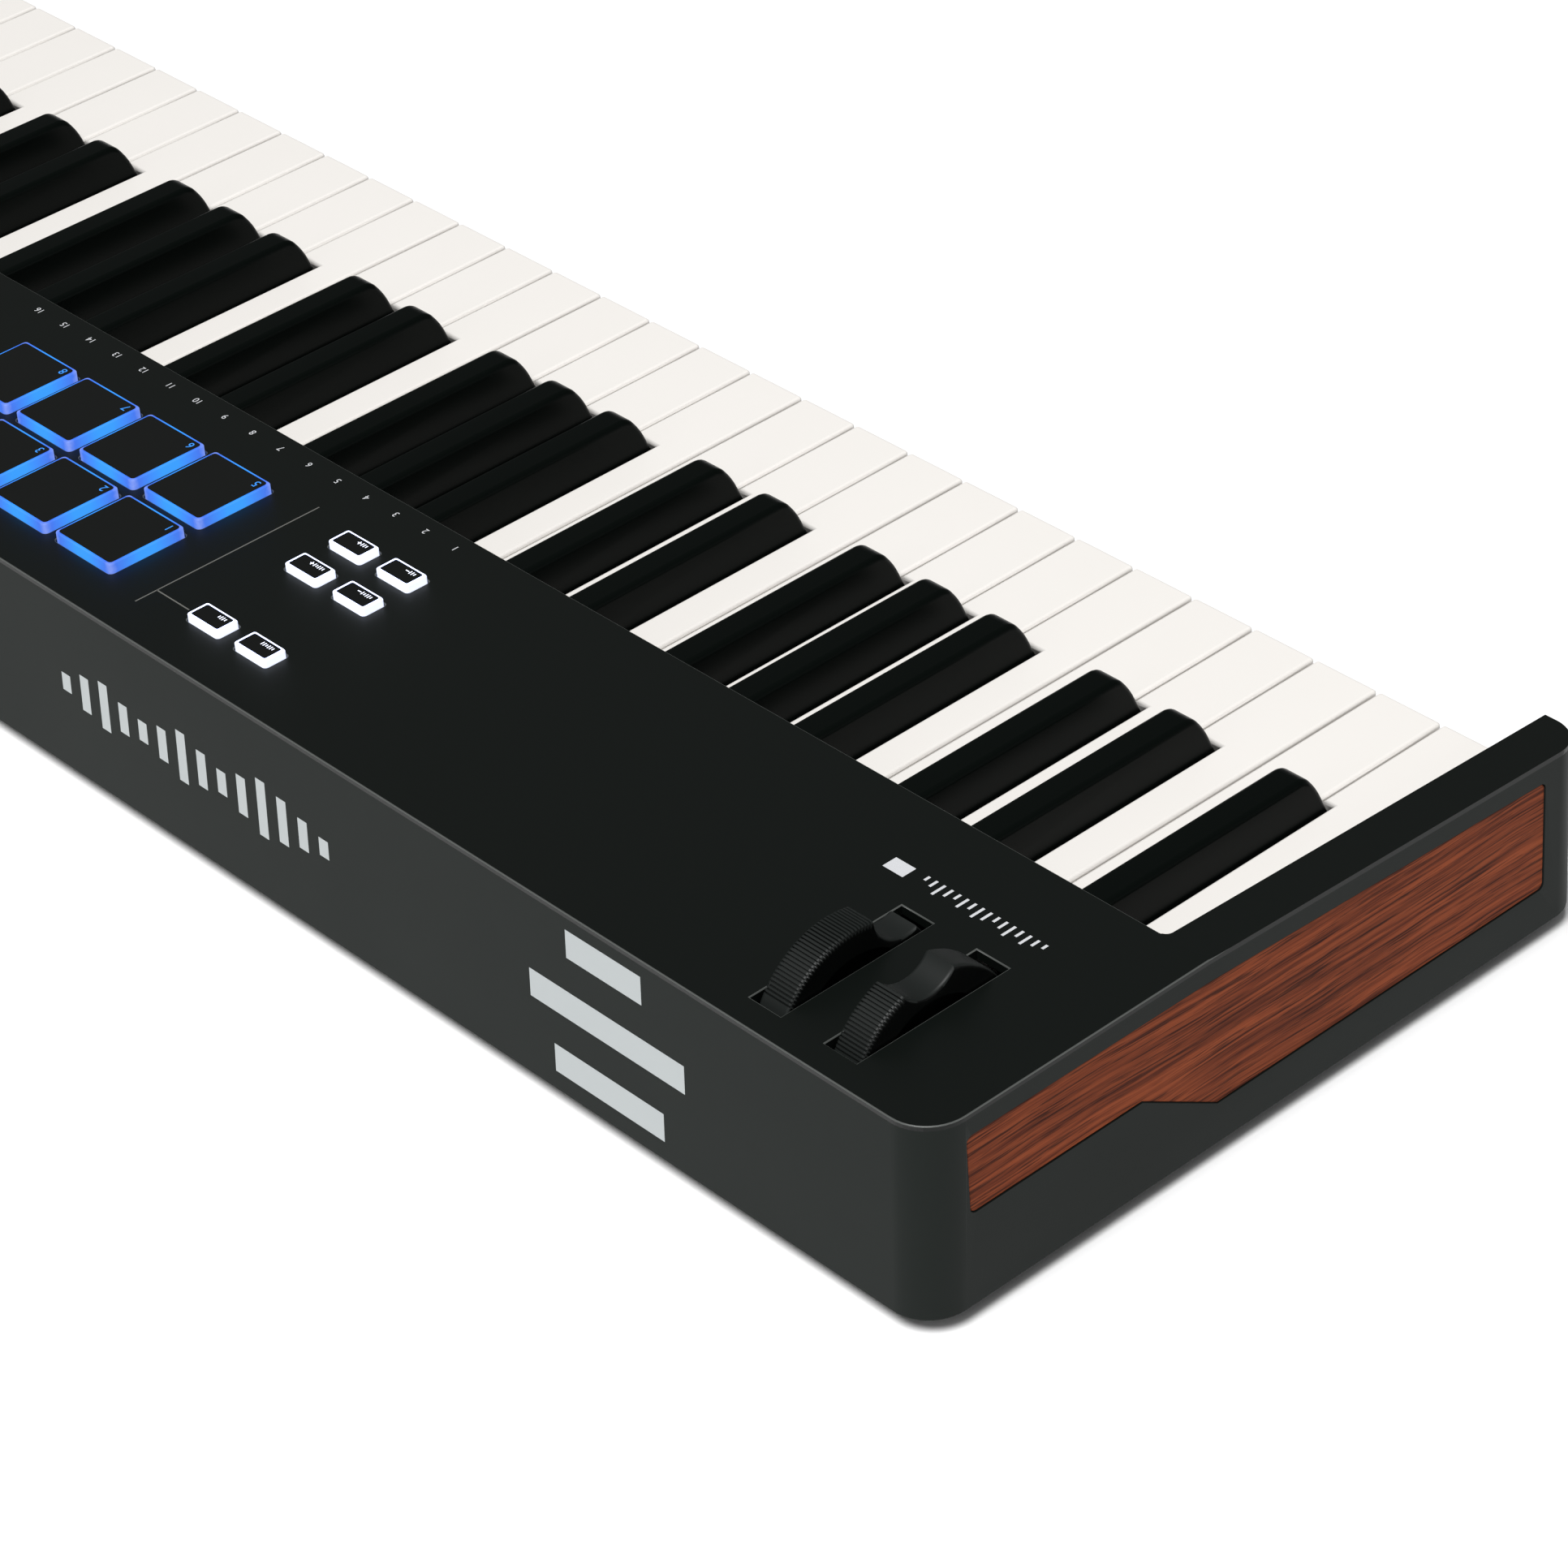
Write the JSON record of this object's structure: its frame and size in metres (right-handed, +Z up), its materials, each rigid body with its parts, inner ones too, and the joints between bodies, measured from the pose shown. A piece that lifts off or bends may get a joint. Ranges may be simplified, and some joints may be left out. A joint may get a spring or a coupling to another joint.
{
  "type": "keyboard controller",
  "caption": "Full-size electronic keyboard with a slim black case, wood end panels, pitch and modulation wheels, lit pads, buttons, a display, knobs and faders.",
  "frame": {"origin": "on the surface it stands on, under the middle of the case", "axes": "+X along the keys towards the treble end, +Y towards the rear, +Z up; the player sits on the -Y side"},
  "size_m": [1.255, 0.248, 0.0808],
  "materials": {
    "case": "fine satin, moulded",
    "deck": "satin, moulded",
    "wood": "oiled, straight grain",
    "foot_rubber": "matt",
    "steel": "zinc plated",
    "board": "solder mask",
    "dome_rubber": "matt",
    "felt": "felt",
    "inner_plastic": "moulded",
    "wheel": "soft matt",
    "window": "clear over black",
    "white_key": "satin",
    "black_key": "satin",
    "pad": "black top over a lit blue body",
    "button": "black top over a lit white body",
    "knob": "soft matt"
  },
  "bodies": {
    "case": {"bottom_case": "case", "top_case": "deck", "left_wood_panel": "wood", "right_wood_panel": "wood", "feet": "foot_rubber", "case_screws": "steel", "keybed_frame": "steel", "pivot_rod": "steel", "key_springs": "steel", "contact_board": "board", "rubber_domes": "dome_rubber", "stop_felts": "felt", "wheel_bracket": "inner_plastic", "panel_board": "board", "main_board": "board", "display_module": "inner_plastic", "display_window": "window", "usb_socket": "steel", "midi_socket": "inner_plastic", "pedal_jacks": "inner_plastic"},
    "keys_a": {"keys_a": "white_key"},
    "keys_a_sharp": {"keys_a_sharp": "black_key"},
    "keys_b": {"keys_b": "white_key"},
    "keys_c": {"keys_c": "white_key"},
    "keys_c_sharp": {"keys_c_sharp": "black_key"},
    "keys_d": {"keys_d": "white_key"},
    "keys_d_sharp": {"keys_d_sharp": "black_key"},
    "keys_e": {"keys_e": "white_key"},
    "keys_f": {"keys_f": "white_key"},
    "keys_f_sharp": {"keys_f_sharp": "black_key"},
    "keys_g": {"keys_g": "white_key"},
    "keys_g_sharp": {"keys_g_sharp": "black_key"},
    "pitch_wheel": {"pitch_wheel": "wheel"},
    "mod_wheel": {"mod_wheel": "wheel"},
    "pad_1": {"pad_1": "pad"},
    "pad_2": {"pad_2": "pad"},
    "pad_3": {"pad_3": "pad"},
    "pad_4": {"pad_4": "pad"},
    "pad_5": {"pad_5": "pad"},
    "pad_6": {"pad_6": "pad"},
    "pad_7": {"pad_7": "pad"},
    "pad_8": {"pad_8": "pad"},
    "octave_up_button": {"octave_up_button": "button"},
    "octave_down_button": {"octave_down_button": "button"},
    "transpose_up_button": {"transpose_up_button": "button"},
    "transpose_down_button": {"transpose_down_button": "button"},
    "bank_button": {"bank_button": "button"},
    "channel_button": {"channel_button": "button"},
    "command_buttons": {"command_buttons": "button"},
    "main_encoder": {"main_encoder": "knob"},
    "knob_1": {"knob_1": "knob"},
    "knob_2": {"knob_2": "knob"},
    "knob_3": {"knob_3": "knob"},
    "knob_4": {"knob_4": "knob"},
    "knob_5": {"knob_5": "knob"},
    "knob_6": {"knob_6": "knob"},
    "knob_7": {"knob_7": "knob"},
    "knob_8": {"knob_8": "knob"},
    "knob_9": {"knob_9": "knob"},
    "faders": {"faders": "knob"}
  },
  "joints": [
    {"name": "keys_a_hinge", "type": "hinge", "parent": "case", "child": "keys_a", "pos_m": [0, 0.046, 0.045], "axis": [1, 0, 0], "range_deg": [0, 3.6], "stiffness_Nm_per_rad": 3, "springref_deg": -11.46},
    {"name": "keys_a_sharp_hinge", "type": "hinge", "parent": "case", "child": "keys_a_sharp", "pos_m": [0, 0.046, 0.045], "axis": [1, 0, 0], "range_deg": [0, 3.6], "stiffness_Nm_per_rad": 3, "springref_deg": -11.46},
    {"name": "keys_b_hinge", "type": "hinge", "parent": "case", "child": "keys_b", "pos_m": [0, 0.046, 0.045], "axis": [1, 0, 0], "range_deg": [0, 3.6], "stiffness_Nm_per_rad": 3, "springref_deg": -11.46},
    {"name": "keys_c_hinge", "type": "hinge", "parent": "case", "child": "keys_c", "pos_m": [0, 0.046, 0.045], "axis": [1, 0, 0], "range_deg": [0, 3.6], "stiffness_Nm_per_rad": 3, "springref_deg": -11.46},
    {"name": "keys_c_sharp_hinge", "type": "hinge", "parent": "case", "child": "keys_c_sharp", "pos_m": [0, 0.046, 0.045], "axis": [1, 0, 0], "range_deg": [0, 3.6], "stiffness_Nm_per_rad": 3, "springref_deg": -11.46},
    {"name": "keys_d_hinge", "type": "hinge", "parent": "case", "child": "keys_d", "pos_m": [0, 0.046, 0.045], "axis": [1, 0, 0], "range_deg": [0, 3.6], "stiffness_Nm_per_rad": 3, "springref_deg": -11.46},
    {"name": "keys_d_sharp_hinge", "type": "hinge", "parent": "case", "child": "keys_d_sharp", "pos_m": [0, 0.046, 0.045], "axis": [1, 0, 0], "range_deg": [0, 3.6], "stiffness_Nm_per_rad": 3, "springref_deg": -11.46},
    {"name": "keys_e_hinge", "type": "hinge", "parent": "case", "child": "keys_e", "pos_m": [0, 0.046, 0.045], "axis": [1, 0, 0], "range_deg": [0, 3.6], "stiffness_Nm_per_rad": 3, "springref_deg": -11.46},
    {"name": "keys_f_hinge", "type": "hinge", "parent": "case", "child": "keys_f", "pos_m": [0, 0.046, 0.045], "axis": [1, 0, 0], "range_deg": [0, 3.6], "stiffness_Nm_per_rad": 3, "springref_deg": -11.46},
    {"name": "keys_f_sharp_hinge", "type": "hinge", "parent": "case", "child": "keys_f_sharp", "pos_m": [0, 0.046, 0.045], "axis": [1, 0, 0], "range_deg": [0, 3.6], "stiffness_Nm_per_rad": 3, "springref_deg": -11.46},
    {"name": "keys_g_hinge", "type": "hinge", "parent": "case", "child": "keys_g", "pos_m": [0, 0.046, 0.045], "axis": [1, 0, 0], "range_deg": [0, 3.6], "stiffness_Nm_per_rad": 3, "springref_deg": -11.46},
    {"name": "keys_g_sharp_hinge", "type": "hinge", "parent": "case", "child": "keys_g_sharp", "pos_m": [0, 0.046, 0.045], "axis": [1, 0, 0], "range_deg": [0, 3.6], "stiffness_Nm_per_rad": 3, "springref_deg": -11.46},
    {"name": "pitch_wheel_turn", "type": "hinge", "parent": "case", "child": "pitch_wheel", "pos_m": [-0.58675, 0.0851, 0.0495], "axis": [1, 0, 0], "range_deg": [-32, 32], "stiffness_Nm_per_rad": 0.06},
    {"name": "mod_wheel_turn", "type": "hinge", "parent": "case", "child": "mod_wheel", "pos_m": [-0.55885, 0.0851, 0.0495], "axis": [1, 0, 0], "range_deg": [-66, 0]},
    {"name": "pad_1_press", "type": "slide", "parent": "case", "child": "pad_1", "axis": [0, 0, -1], "range_m": [0, 0.0006], "stiffness_N_per_m": 3000, "springref_m": -0.0003},
    {"name": "pad_2_press", "type": "slide", "parent": "case", "child": "pad_2", "axis": [0, 0, -1], "range_m": [0, 0.0006], "stiffness_N_per_m": 3000, "springref_m": -0.0003},
    {"name": "pad_3_press", "type": "slide", "parent": "case", "child": "pad_3", "axis": [0, 0, -1], "range_m": [0, 0.0006], "stiffness_N_per_m": 3000, "springref_m": -0.0003},
    {"name": "pad_4_press", "type": "slide", "parent": "case", "child": "pad_4", "axis": [0, 0, -1], "range_m": [0, 0.0006], "stiffness_N_per_m": 3000, "springref_m": -0.0003},
    {"name": "pad_5_press", "type": "slide", "parent": "case", "child": "pad_5", "axis": [0, 0, -1], "range_m": [0, 0.0006], "stiffness_N_per_m": 3000, "springref_m": -0.0003},
    {"name": "pad_6_press", "type": "slide", "parent": "case", "child": "pad_6", "axis": [0, 0, -1], "range_m": [0, 0.0006], "stiffness_N_per_m": 3000, "springref_m": -0.0003},
    {"name": "pad_7_press", "type": "slide", "parent": "case", "child": "pad_7", "axis": [0, 0, -1], "range_m": [0, 0.0006], "stiffness_N_per_m": 3000, "springref_m": -0.0003},
    {"name": "pad_8_press", "type": "slide", "parent": "case", "child": "pad_8", "axis": [0, 0, -1], "range_m": [0, 0.0006], "stiffness_N_per_m": 3000, "springref_m": -0.0003},
    {"name": "octave_up_button_press", "type": "slide", "parent": "case", "child": "octave_up_button", "axis": [0, 0, -1], "range_m": [0, 0.0008], "stiffness_N_per_m": 600, "springref_m": -0.0006},
    {"name": "octave_down_button_press", "type": "slide", "parent": "case", "child": "octave_down_button", "axis": [0, 0, -1], "range_m": [0, 0.0008], "stiffness_N_per_m": 600, "springref_m": -0.0006},
    {"name": "transpose_up_button_press", "type": "slide", "parent": "case", "child": "transpose_up_button", "axis": [0, 0, -1], "range_m": [0, 0.0008], "stiffness_N_per_m": 600, "springref_m": -0.0006},
    {"name": "transpose_down_button_press", "type": "slide", "parent": "case", "child": "transpose_down_button", "axis": [0, 0, -1], "range_m": [0, 0.0008], "stiffness_N_per_m": 600, "springref_m": -0.0006},
    {"name": "bank_button_press", "type": "slide", "parent": "case", "child": "bank_button", "axis": [0, 0, -1], "range_m": [0, 0.0008], "stiffness_N_per_m": 600, "springref_m": -0.0006},
    {"name": "channel_button_press", "type": "slide", "parent": "case", "child": "channel_button", "axis": [0, 0, -1], "range_m": [0, 0.0008], "stiffness_N_per_m": 600, "springref_m": -0.0006},
    {"name": "command_buttons_press", "type": "slide", "parent": "case", "child": "command_buttons", "axis": [0, 0, -1], "range_m": [0, 0.0008], "stiffness_N_per_m": 6000, "springref_m": -0.0006},
    {"name": "main_encoder_turn", "type": "hinge", "parent": "case", "child": "main_encoder", "pos_m": [-0.005, 0.079, 0.0658], "axis": [0, 0, 1], "continuous": true},
    {"name": "knob_1_turn", "type": "hinge", "parent": "case", "child": "knob_1", "pos_m": [0.145, 0.099, 0.0658], "axis": [0, 0, 1], "range_deg": [-150, 150]},
    {"name": "knob_2_turn", "type": "hinge", "parent": "case", "child": "knob_2", "pos_m": [0.179, 0.099, 0.0658], "axis": [0, 0, 1], "range_deg": [-150, 150]},
    {"name": "knob_3_turn", "type": "hinge", "parent": "case", "child": "knob_3", "pos_m": [0.213, 0.099, 0.0658], "axis": [0, 0, 1], "range_deg": [-150, 150]},
    {"name": "knob_4_turn", "type": "hinge", "parent": "case", "child": "knob_4", "pos_m": [0.247, 0.099, 0.0658], "axis": [0, 0, 1], "range_deg": [-150, 150]},
    {"name": "knob_5_turn", "type": "hinge", "parent": "case", "child": "knob_5", "pos_m": [0.281, 0.099, 0.0658], "axis": [0, 0, 1], "range_deg": [-150, 150]},
    {"name": "knob_6_turn", "type": "hinge", "parent": "case", "child": "knob_6", "pos_m": [0.315, 0.099, 0.0658], "axis": [0, 0, 1], "range_deg": [-150, 150]},
    {"name": "knob_7_turn", "type": "hinge", "parent": "case", "child": "knob_7", "pos_m": [0.349, 0.099, 0.0658], "axis": [0, 0, 1], "range_deg": [-150, 150]},
    {"name": "knob_8_turn", "type": "hinge", "parent": "case", "child": "knob_8", "pos_m": [0.383, 0.099, 0.0658], "axis": [0, 0, 1], "range_deg": [-150, 150]},
    {"name": "knob_9_turn", "type": "hinge", "parent": "case", "child": "knob_9", "pos_m": [0.417, 0.099, 0.0658], "axis": [0, 0, 1], "range_deg": [-150, 150]},
    {"name": "faders_slide", "type": "slide", "parent": "case", "child": "faders", "axis": [0, 1, 0], "range_m": [0, 0.034]}
  ]
}
